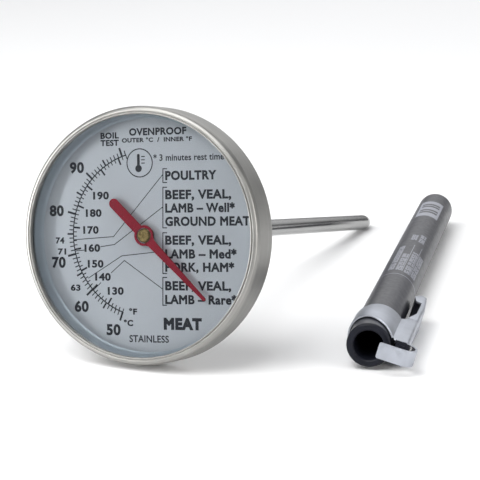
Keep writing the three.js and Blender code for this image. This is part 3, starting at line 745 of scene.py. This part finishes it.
def nut_outline():
    """The rounded hexagon, cut in short steps so that the chamfers curve."""
    corners = [(*point, 0.3) for point in arc(0, 0, NUT_CORNER, 0, 300, 5)]
    hexagon = rounded(corners, closed=True, steps=6)
    ring = []
    for (x0, z0), (x1, z1) in zip(hexagon, hexagon[1:] + hexagon[:1]):
        pieces = max(1, round(math.hypot(x1 - x0, z1 - z0) / 0.35))
        ring += [(x0 + (x1 - x0) * k / pieces, z0 + (z1 - z0) * k / pieces) for k in range(pieces)]
    return ring


rows = []
for x, z in nut_outline():
    radius = math.hypot(x, z)
    drop = max(0.0, radius - CONE_RADIUS) * CONE_SLOPE
    flat_radius = min(radius, CONE_RADIUS) - (SOFT_EDGE if drop == 0 else 0)
    drop = max(drop, SOFT_EDGE)
    section = [(NUT_BORE, NUT_FRONT), (flat_radius, NUT_FRONT), (radius, NUT_FRONT + drop),
               (radius, NUT_REAR - drop), (flat_radius, NUT_REAR)]
    # the tapered boss where the stem leaves the nut
    section += [(3.7, NUT_REAR), (3.48, NUT_REAR + 0.05), (3.4, NUT_REAR + 0.2),
                (2.75, NUT_REAR + 1.65), (2.66, NUT_REAR + 1.77), (2.55, NUT_REAR + 1.8),
                (NUT_BORE, NUT_REAR + 1.8)]
    rows.append([(r * x / radius, y, r * z / radius) for r, y in section])
make("hex_nut", *grid(rows, True, True), THERMOMETER, STEEL, "stem", "steel",
     ["calibration_nut"], sharp=25)

STEM_RADIUS, STEM_BORE, POINT_Y = 1.95, 1.55, 140.0
lathe("stem", [(0, POINT_Y)] + rounded([
    (0.12, POINT_Y - 0.03), (0.35, POINT_Y - 0.4, 0.25), (1.72, POINT_Y - 4.1, 1.5),
    (STEM_RADIUS, POINT_Y - 5.8, 2.0), (STEM_RADIUS, 7.5, 0.1), (STEM_BORE, 7.4)], steps=8)
    + [(STEM_BORE, POINT_Y - 10), (0, POINT_Y - 10)],
    96, THERMOMETER, POLISHED, "stem", "stem_steel", ["stem_tube", "stem_tip"])

# ---------------------------------------------------------------- sheath tube
TUBE, BORE, TUBE_END = 4.45, 3.0, 135.5
DARK_MOUTH = 0.8                        # how far the mouth's black face runs back along the tube
lathe("sheath", [(0, 129.6)] + arc(0, 129.6 - BORE, BORE, 80, 0, 8) + rounded([
    (BORE, 60), (BORE, 0.25, 0.3), (BORE + 0.3, 0.0, 0.2), (TUBE - 0.3, 0.0, 0.2), (TUBE, 0.3, 0.3),
    (TUBE, DARK_MOUTH), (TUBE, 60)])
    + arc(0, TUBE_END - TUBE, TUBE, 0, 84, 20) + [(0, TUBE_END)],
    128, SHEATH, PLASTIC, "sheath", "sheath_plastic", ["sheath_tube"],
    inside=(MOUTH, lambda middle, normal: middle.y < DARK_MOUTH or (
        middle.y < 130 and math.hypot(middle.x, middle.z) < BORE + 0.2)))

SKIN = TUBE + 0.015                     # radius of the print on the tube
sheath_vertices, sheath_faces = [], []


def tube_patch(v0, v1, a0, a1):
    """A printed patch from y = v0 to v1 and from angle a0 to a1, in degrees from the clip."""
    nu, nv = max(1, round(abs(a1 - a0) / 3)), max(1, round((v1 - v0) / 4))
    base = len(sheath_vertices)
    for x, z in arc(0, 0, SKIN, a0, a1, nu):
        sheath_vertices.extend((x, v0 + (v1 - v0) * j / nv, z) for j in range(nv + 1))
    for i in range(nu):
        for j in range(nv):
            p = base + i * (nv + 1) + j
            sheath_faces.append((p, p + 1, p + nv + 2, p + nv + 1))


# Rows of small bars, in words of random length, stand in for fine print: (angle, start, end).
PRINT_ROWS = [(124, 46, 69.5), (101, 45.5, 61), (76, 44.8, 64.6), (53, 45, 64),
              (101, 75.7, 80.8), (76, 74.9, 82.4)]
UPPER_BREAK, LOWER_BREAK = ((-9, -3.4), (-1.6, 9)), ((-9, 1.8), (3.4, 9))
dice = random.Random(7)
# painted highlight: a thin pale line round most of the tube, along the edge of the printed label
tube_patch(41.9, 42.25, 14, 200)
for middle, start, end in PRINT_ROWS:
    v = start
    while v < end:
        word = min(end, v + dice.uniform(2.2, 5.2))
        while v < word - 0.3:
            wide = dice.uniform(0.45, 0.75)
            for low, high in UPPER_BREAK if dice.random() < 0.5 else LOWER_BREAK:
                tube_patch(v, v + wide, middle + low, middle + high)
            v += wide + 0.16
        v = word + 0.55
for middle in (90, 65):
    tube_patch(45, 71, middle - 0.9, middle + 0.9)
# a pale panel near the closed end, with dark slots left in it
for v0, v1 in ((103.6, 107.4), (109.0, 109.9), (111.4, 114.2), (115.7, 116.5), (118.0, 121.2)):
    tube_patch(v0, v1, 62, 138)
for a0, a1 in ((62, 70), (130, 138)):
    tube_patch(107.4, 118.0, a0, a1)
make("sheath_marks", sheath_vertices, sheath_faces, SHEATH, PALE_INK, "sheath", "sheath_plastic",
     outward=False)

# ---------------------------------------------------------------- pocket clip
SHEET = 0.45                            # thickness of the strip
HALF = 2.95                             # half the width of the channel


def straight_steps(points, longest):
    """The same line with long straight stretches cut into shorter ones."""
    out = []
    for (x0, z0), (x1, z1) in zip(points, points[1:] + points[:1]):
        pieces = max(1, math.ceil(math.hypot(x1 - x0, z1 - z0) / longest))
        out += [(x0 + (x1 - x0) * k / pieces, z0 + (z1 - z0) * k / pieces) for k in range(pieces)]
    return out


def interpolate(x, table):
    """The table's value at x, along straight lines between its (x, value) points."""
    for (x0, y0), (x1, y1) in zip(table, table[1:]):
        if x <= x1:
            t = max(0.0, (x - x0) / (x1 - x0))
            return y0 + (y1 - y0) * t
    return table[-1][1]


# Middle line of the keyhole section: round the tube, then out along the two channel walls.
MIDDLE = 4.6 + SHEET / 2
WALL_Z = HALF - SHEET / 2
CHANNEL_X = 7.6 - SHEET / 2
join = math.asin(WALL_Z / MIDDLE)
JOIN_X = MIDDLE * math.cos(join)
ring_part = arc(0, 0, MIDDLE, math.degrees(join) + 4, 356 - math.degrees(join), 96)
keyhole = straight_steps(ring_part + rounded(
    [ring_part[-1], (JOIN_X, -WALL_Z, 0.6), (CHANNEL_X, -WALL_Z, 0.42), (CHANNEL_X, WALL_Z, 0.42),
     (JOIN_X, WALL_Z, 0.6), ring_part[0]], steps=6)[1:-1], 0.3)
# y of the band's edges by x; below the tube the front edge gives way to the under edge
FRONT_EDGE = [(-6, 6.9), (3.9, 0.95), (4.3, 0.72), (4.7, 0.52), (5.2, 0.4), (6.9, 0.35),
              (7.2, 0.75), (7.38, 1.6)]
UNDER_EDGE = [(-6, 6.9), (-4.8, 6.18), (-3.6, 5.9), (4.3, 5.9), (5.4, 4.4), (7.0, 2.6), (7.4, 2.6)]
REAR_EDGE = [(-6, 13.1), (1.5, 13.72), (2.6, 14.0), (3.4, 14.5), (4.1, 15.1), (4.7, 15.6),
             (5.1, 16.2), (5.25, 16.85), (7.4, 16.85)]


def band_rows():
    """The strip's section at each point of the keyhole line."""
    t = SHEET / 2
    rows = []
    for i, (x, z) in enumerate(keyhole):
        (xa, za), (xb, zb) = keyhole[i - 1], keyhole[(i + 1) % len(keyhole)]
        normal = Vector((zb - za, -(xb - xa))).normalized()
        under = min(1.0, max(0.0, (1.2 - z) / 2.4))
        under = under * under * (3 - 2 * under)
        front = interpolate(x, FRONT_EDGE) * (1 - under) + interpolate(x, UNDER_EDGE) * under
        rear = interpolate(x, REAR_EDGE)
        section = rounded([(t, front, 0.1), (t, rear, 0.1), (-t, rear, 0.1), (-t, front, 0.1)],
                          closed=True, steps=3)
        rows.append([(x + normal.x * offset, y, z + normal.y * offset) for offset, y in section])
    return rows


# Hairpin hook in front of the mouth, from the channel wall round a tight bend and back.
BEND, BEND_RADIUS = Vector((7.05, -1.65)), 2.225
HOOK_TOP, HOOK_BOTTOM = 2.7, -0.6
BACK_Y = BEND.y - BEND_RADIUS


def hook_rows():
    """The strip's section along the hook, with a groove pressed along its outer face."""
    t, edge = SHEET / 2, 0.1
    soft = edge - 0.07
    path = ([(x, BEND.y + BEND_RADIUS) for x in (4.95, 5.6, 6.3)]
            + arc(*BEND, BEND_RADIUS, 90, -90, 28)
            + [(x, BACK_Y) for x in (6.2, 5.2, 4.2, 3.2, 2.6, 2.35, 2.22, 2.14, 2.1)])
    rows = []
    for i, (x, y) in enumerate(path):
        xa, ya = path[max(0, i - 1)]
        xb, yb = path[min(len(path) - 1, i + 1)]
        normal = Vector((yb - ya, -(xb - xa))).normalized()
        top, bottom = HOOK_TOP, HOOK_BOTTOM
        if y > 0:
            top = interpolate(x, [(4.9, 2.9), (6.5, 2.9), (7.3, HOOK_TOP)])
        if y < -3.8 and x < 2.5:   # rounded corners of the free end
            inset = 0.4 - math.sqrt(max(0.0, 0.16 - (2.5 - x) ** 2))
            top, bottom = top - inset, bottom + inset
        groove = 0.05 if y < -3.8 and 2.5 < x < 6.6 else 0.0
        section = [(-t, bottom + edge), (-t + soft, bottom + soft), (-t + edge, bottom),
                   (t - edge, bottom), (t - soft, bottom + soft), (t, bottom + edge),
                   (t, top - 0.56), (t - groove, top - 0.5), (t - groove, top - 0.44),
                   (t, top - 0.38), (t, top - edge), (t - soft, top - soft), (t - edge, top),
                   (-t + edge, top), (-t + soft, top - soft), (-t, top - edge)]
        rows.append([(x - normal.x * offset, y - normal.y * offset, z) for offset, z in section])
    return rows


def clip_painted_shade(middle, normal):
    """True for the inner side of the bent strip, which takes the near-black painted shade."""
    if middle.y < 0.5 and abs(middle.z) < 2.8:
        if middle.x > BEND.x:
            return abs(normal.z) < 0.5 and normal.xy.dot(middle.xy - BEND) < 0
        return (middle.y < -3 and normal.y > 0.5) or (middle.y > 0 and normal.y < -0.5)
    if middle.x < 4.3:
        return normal.x * middle.x + normal.z * middle.z < -0.5
    return (abs(normal.z) > 0.5 and normal.z * middle.z < 0) or (normal.x < -0.5 and middle.x > 6.8)


band_vertices, band_faces = grid(band_rows(), True, True)
hook = hook_rows()
hook_vertices, hook_faces = grid(hook, False, True)
count = len(hook[0])
hook_faces += [tuple(range(count)), tuple(range(len(hook_vertices) - count, len(hook_vertices)))]
base = len(band_vertices)
# the strip's inner faces get the near-black painted shade
make("clip_band_and_hook", band_vertices + hook_vertices,
     band_faces + [tuple(base + i for i in f) for f in hook_faces],
     SHEATH, CLIP, "sheath", "clip_steel", ["clip_band"], inside=(PAINTED_CLIP_SHADE, clip_painted_shade))

# Springy half: a U channel with an end bent in to the tube, open towards the tube.
TONGUE_START, TONGUE_BEND = 16.95, 35.2
tongue_side = rounded([
    (5.25, TONGUE_START), (7.6, TONGUE_START), (7.6, 22, 8), (7.85, 27.3, 8), (7.42, 35, 1.2),
    (6.2, 36.6, 0.5), (4.8, 34.3, 0.8), (5.4, 31, 0.5), (6.65, 30.6, 0.4), (6.55, 21.8, 1.2)],
    closed=True, steps=8)
hollow = rounded([
    (2, 15), (7.15, 15), (7.15, 22, 8), (7.4, 27.3, 8), (6.97, 34.7, 1.0), (6.2, 35.8, 0.4),
    (5.1, 34.0, 0.3), (2, 33)], closed=True, steps=8)
lower_wall = rounded([
    (4.1, TONGUE_START), (6.9, TONGUE_START), (6.9, 31.8), (5.3, 31.8, 0.3), (4.6, 31, 0.3),
    (4.1, 29, 1.0)], closed=True)


def is_outer_edge(edge):
    """True for the long edges along the tongue's back, which are rounded more than the rest."""
    a, b = (v.co / MM for v in edge.verts)
    along_one_side = abs(abs(a.z) - HALF) < 1e-4 and a.z * b.z > 0
    past_start = min(a.y, b.y) > 16.9 and max(a.y, b.y) > 17.0
    return along_one_side and past_start and min(a.x, b.x) > 6.9 and max(a.y, b.y) < TONGUE_BEND


def tongue_mesh():
    shell = solid_prism(tongue_side, -HALF, HALF)
    cutter = solid_prism(hollow, SHEET - HALF, HALF - SHEET)
    wall = solid_prism(lower_wall, -HALF, SHEET - HALF)
    work = bmesh.new()
    work.from_mesh(shell.data)
    bmesh.ops.bevel(work, geom=[e for e in work.edges if is_outer_edge(e)], offset=0.6 * MM,
                    segments=5, profile=0.5, affect="EDGES", clamp_overlap=False)
    work.to_mesh(shell.data)
    work.free()
    for operation, other in (("DIFFERENCE", cutter), ("UNION", wall)):
        boolean = shell.modifiers.new(operation.lower(), "BOOLEAN")
        boolean.operation, boolean.solver, boolean.object = operation, "EXACT", other
    bevel = shell.modifiers.new("edges", "BEVEL")
    bevel.width, bevel.segments = 0.09 * MM, 3
    bevel.limit_method, bevel.angle_limit = "ANGLE", math.radians(40)
    bpy.context.view_layer.update()
    mesh = baked(shell)
    for other in (cutter, wall):
        bpy.data.objects.remove(other)
    return mesh


def tongue_painted_shade(middle, normal):
    """True for the inner side of the channel, which takes the near-black painted shade."""
    return abs(middle.z) < 2.53 and middle.y < TONGUE_BEND and (
        abs(normal.z) > 0.5 and normal.z * middle.z < 0 or normal.x < -0.3 and middle.x > 6.9)


tongue = tongue_mesh()
# the channel's inner faces get the near-black painted shade
make("clip_spring", [tuple(v.co / MM) for v in tongue.vertices],
     [tuple(f.vertices) for f in tongue.polygons], SHEATH, CLIP, "clip", "clip_steel",
     ["clip_tongue"], inside=(PAINTED_CLIP_SHADE, tongue_painted_shade))

# ---------------------------------------------------------------- CAD nodes that stay as they are
for names, look in (
        (("dial_spacer", "pointer_shaft"), INNER_STEEL),
        (("upper_guide", "lower_guide", "shaft_collar"), INNER_BRASS),
        (("bimetal_coil",), BIMETAL)):
    for name in names:
        node = frame["nodes"][name]
        node.data.materials.clear()
        node.data.materials.append(look)

# ---------------------------------------------------------------- table, light and camera
floor_mesh = bpy.data.meshes.new("table_top")
work = bmesh.new()
bmesh.ops.create_grid(work, x_segments=8, y_segments=8, size=4)
work.to_mesh(floor_mesh)
work.free()
table_look = Look("table_white", (0.93, 0.93, 0.93), 0.6, 0.0, Specular_IOR_Level=0.25)
table_look.rough(table_look.span(table_look.noise(30, 2), 0.55, 0.65))
floor_mesh.materials.append(table_look.material)
floor = bpy.data.objects.new("table_top", floor_mesh)
bpy.context.scene.collection.objects.link(floor)
floor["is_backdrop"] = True

world = bpy.data.worlds.new("studio")
bpy.context.scene.world = world
world.use_nodes = True
nodes, links = world.node_tree.nodes, world.node_tree.links
direction = nodes.new("ShaderNodeTexCoord").outputs["Generated"]
split = nodes.new("ShaderNodeSeparateXYZ")
links.new(direction, split.inputs[0])
sky = nodes.new("ShaderNodeValToRGB")
links.new(split.outputs[2], sky.inputs[0])
# Brightness by height: dark at the horizon, so that the lens stays clear, and even above it.
SKY = [(0.0, 0.1), (0.07, 0.12), (0.22, 0.3), (0.5, 0.3), (1.0, 0.36)]
while len(sky.color_ramp.elements) < len(SKY):
    sky.color_ramp.elements.new(0.5)
for element, (place, value) in zip(sky.color_ramp.elements, SKY):
    element.position = place
    element.color = (value * 0.98, value * 0.995, value * 1.03, 1)
links.new(sky.outputs[0], nodes["Background"].inputs["Color"])
nodes["Background"].inputs["Strength"].default_value = 1.0


def softbox(name, place, target, size, power, colour=(1, 1, 1)):
    """A rectangular area light in metres and watts, aimed at the target."""
    light = bpy.data.lights.new(name, "AREA")
    light.shape, light.size, light.size_y = "RECTANGLE", size[0], size[1]
    light.energy, light.color = power, colour
    lamp = bpy.data.objects.new(name, light)
    bpy.context.scene.collection.objects.link(lamp)
    lamp.location = place
    lamp.rotation_euler = (Vector(target) - Vector(place)).to_track_quat("-Z", "Y").to_euler()


softbox("overhead", (-0.3, -0.5, 0.86), (0, 0, 0), (0.85, 0.85), 11.5)
softbox("left_low", (-0.95, -0.5, 0.16), (0, -0.06, 0.02), (0.5, 0.36), 10.5)
softbox("right_low", (0.9, -0.45, 0.3), (0, 0, 0.02), (0.6, 0.5), 5, (1, 0.985, 0.96))
softbox("rear", (0.25, 1.1, 0.42), (0, 0, 0.02), (1.3, 0.5), 1.1)
softbox("backdrop", (0, 1.5, 1.1), (-0.1, 1.0, 0), (1.6, 1.0), 7.5)

LENS_LENGTH, SENSOR = 134.459, 36       # in mm
camera = bpy.data.objects.new("camera", bpy.data.cameras.new("camera"))
bpy.context.scene.collection.objects.link(camera)
camera.data.sensor_width, camera.data.lens = SENSOR, LENS_LENGTH
camera.location = (0.0741871, -0.3978166, 0.1055923)
looking = Vector((-0.1984417, 0.9532531, -0.2278802))
camera.rotation_euler = looking.to_track_quat("-Z", "Y").to_euler()
bpy.context.scene.camera = camera
bpy.context.scene.view_settings.view_transform = "Standard"

low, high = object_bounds()
